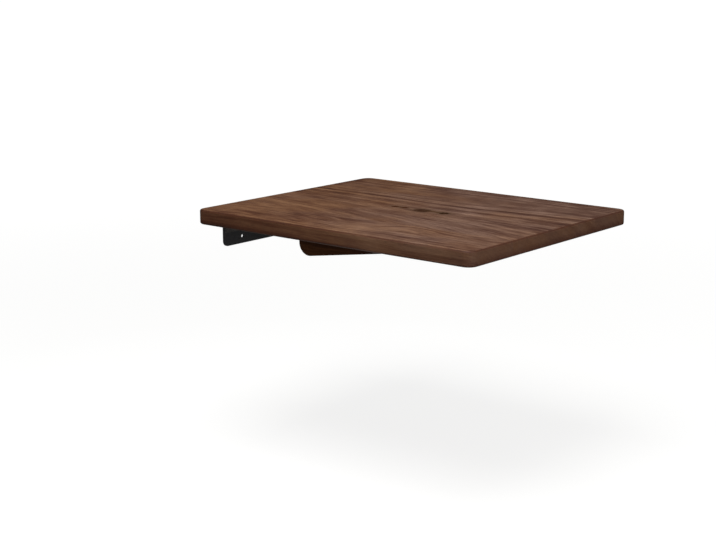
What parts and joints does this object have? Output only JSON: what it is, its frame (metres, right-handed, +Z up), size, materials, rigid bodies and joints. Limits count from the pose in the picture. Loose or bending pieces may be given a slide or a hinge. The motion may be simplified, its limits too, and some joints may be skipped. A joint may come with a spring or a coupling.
{
  "type": "floating nightstand",
  "caption": "Solid walnut shelf that hooks over a bed's side rail and cantilevers out beside the bed on a tapered fin.",
  "frame": {"origin": "centre of the strip of the tabletop's underside that rests on the top of the bed rail", "axes": "+X along the bed rail, +Y in over the rail towards the bed, +Z up; the tabletop's underside is Z = 0"},
  "size_m": [0.4, 0.5055, 0.0957],
  "materials": {
    "walnut_top": "oiled, matt",
    "walnut_fin": "oiled, matt",
    "beech": "bare",
    "brass": "turned",
    "zinc_steel": "zinc plated",
    "black_steel": "powder coated, fine texture",
    "felt": "pressed felt"
  },
  "bodies": {
    "root": {"board_near": "walnut_top", "board_middle": "walnut_top", "board_far": "walnut_top", "support_fin": "walnut_fin", "fin_dowels": "beech", "threaded_inserts": "brass", "fin_bolts": "zinc_steel", "bolt_washers": "zinc_steel", "hook_plate": "black_steel", "plate_screws": "zinc_steel", "fin_pad": "felt", "hook_pad": "felt"}
  },
  "joints": []
}
